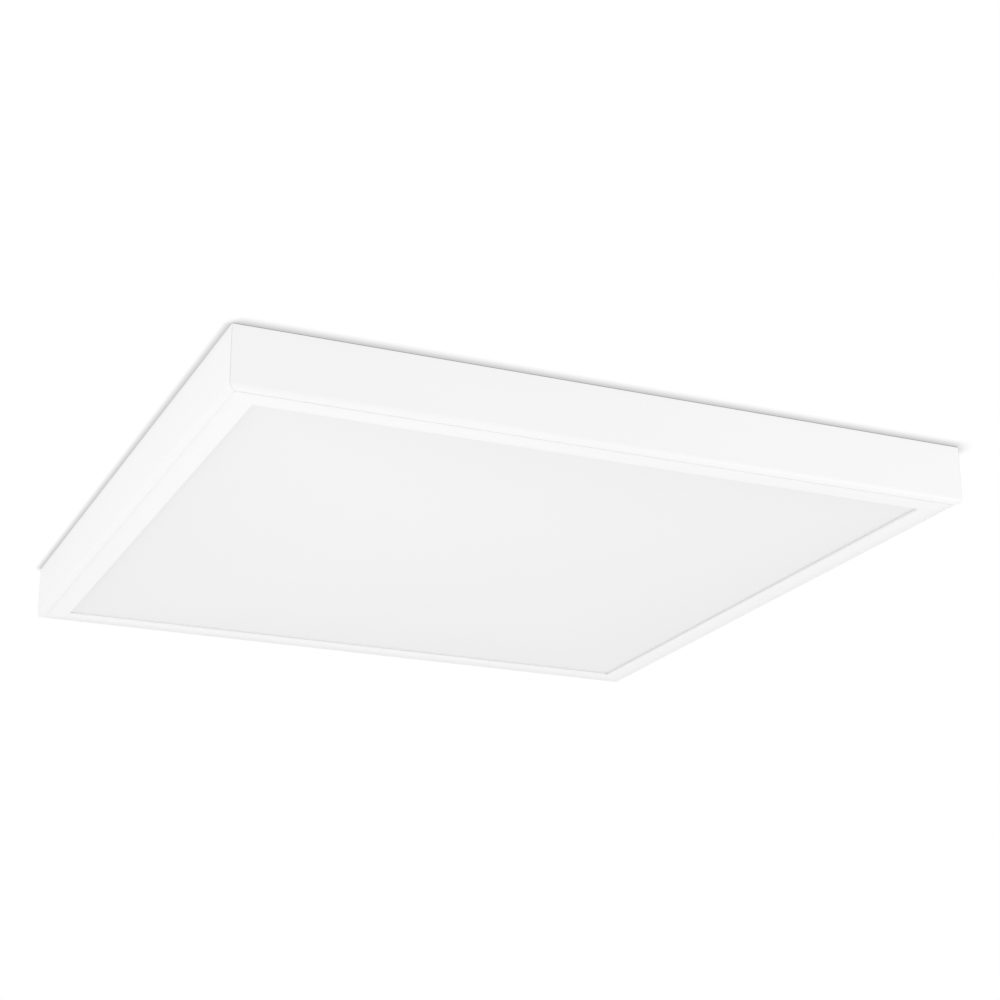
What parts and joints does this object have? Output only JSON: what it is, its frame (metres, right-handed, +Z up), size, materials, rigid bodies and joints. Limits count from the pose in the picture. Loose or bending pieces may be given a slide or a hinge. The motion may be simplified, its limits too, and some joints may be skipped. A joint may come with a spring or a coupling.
{
  "type": "flush mount ceiling light",
  "caption": "Square flush mount LED ceiling light: a slim edge-lit panel with an opal diffuser that slides into a mitred white aluminium surface frame.",
  "frame": {"origin": "centre of the light's ceiling plane, at the top of the surface frame", "axes": "+Z up into the ceiling, -Y towards the removable end rail, X across the side rails"},
  "size_m": [0.6056, 0.6066, 0.048],
  "materials": {
    "white_powder_coat": "white powder coat on extruded aluminium, fine satin",
    "zinc_steel": "bright zinc-plated steel",
    "black_steel": "black oxide steel",
    "opal_diffuser": "opal acrylic sheet, matt, unlit",
    "clear_acrylic": "polished acrylic light guide with printed dots",
    "white_film": "white reflector film",
    "strip_board": "white solder mask on an aluminium-backed strip",
    "led_phosphor": "yellow phosphor in small white packages",
    "grey_foam": "closed-cell foam sheet",
    "galvanised_sheet": "galvanised steel sheet with faint spangle",
    "cast_zinc": "die-cast zinc, dull",
    "driver_plastic": "white polycarbonate, fine texture",
    "green_board": "green solder mask",
    "transformer_tape": "ferrite core with yellow tape",
    "capacitor_sleeve": "dark sleeve on aluminium can",
    "terminal_plastic": "grey nylon terminal block",
    "lead_jacket": "white PVC jacket",
    "black_plastic": "black moulded plastic",
    "black_rubber": "black rubber",
    "clip_nylon": "natural nylon"
  },
  "bodies": {
    "surface_frame": {"left_side_rail": "white_powder_coat", "right_side_rail": "white_powder_coat", "back_rail": "white_powder_coat", "back_left_corner_bracket": "zinc_steel", "back_right_corner_bracket": "zinc_steel", "back_corner_grub_screws": "black_steel"},
    "end_rail": {"end_rail": "white_powder_coat", "front_left_corner_bracket": "zinc_steel", "front_right_corner_bracket": "zinc_steel", "front_corner_grub_screws": "black_steel"},
    "led_panel": {"panel_frame_left": "white_powder_coat", "panel_frame_right": "white_powder_coat", "panel_frame_front": "white_powder_coat", "panel_frame_back": "white_powder_coat", "front_left_corner_key": "cast_zinc", "front_right_corner_key": "cast_zinc", "back_left_corner_key": "cast_zinc", "back_right_corner_key": "cast_zinc", "diffuser": "opal_diffuser", "light_guide": "clear_acrylic", "reflector_film": "white_film", "led_strip_left": "strip_board", "led_strip_right": "strip_board", "led_chips_left": "led_phosphor", "led_chips_right": "led_phosphor", "foam_backing": "grey_foam", "back_cover": "galvanised_sheet", "back_cover_screws": "zinc_steel", "driver_base": "driver_plastic", "driver_lid": "driver_plastic", "driver_circuit_board": "green_board", "driver_transformer": "transformer_tape", "driver_capacitors": "capacitor_sleeve", "driver_terminal_block": "terminal_plastic", "cord_clamp": "driver_plastic", "driver_lid_screws": "zinc_steel", "cord_clamp_screws": "zinc_steel", "driver_fixing_screws": "zinc_steel", "driver_lead": "lead_jacket", "panel_lead": "lead_jacket", "driver_lead_bush": "black_rubber", "dc_plug": "black_plastic", "dc_socket": "black_plastic", "lead_clips": "clip_nylon", "lead_grommet": "black_rubber"}
  },
  "joints": [
    {"name": "panel_slide", "type": "slide", "parent": "surface_frame", "child": "led_panel", "axis": [0, -1, 0], "range_m": [0, 0.61]},
    {"name": "end_rail_off", "type": "slide", "parent": "surface_frame", "child": "end_rail", "axis": [0, -1, 0], "range_m": [0, 0.6405]}
  ],
  "couplings": [
    {"joint": "end_rail_off", "follows": "panel_slide", "ratio": 1.05}
  ]
}
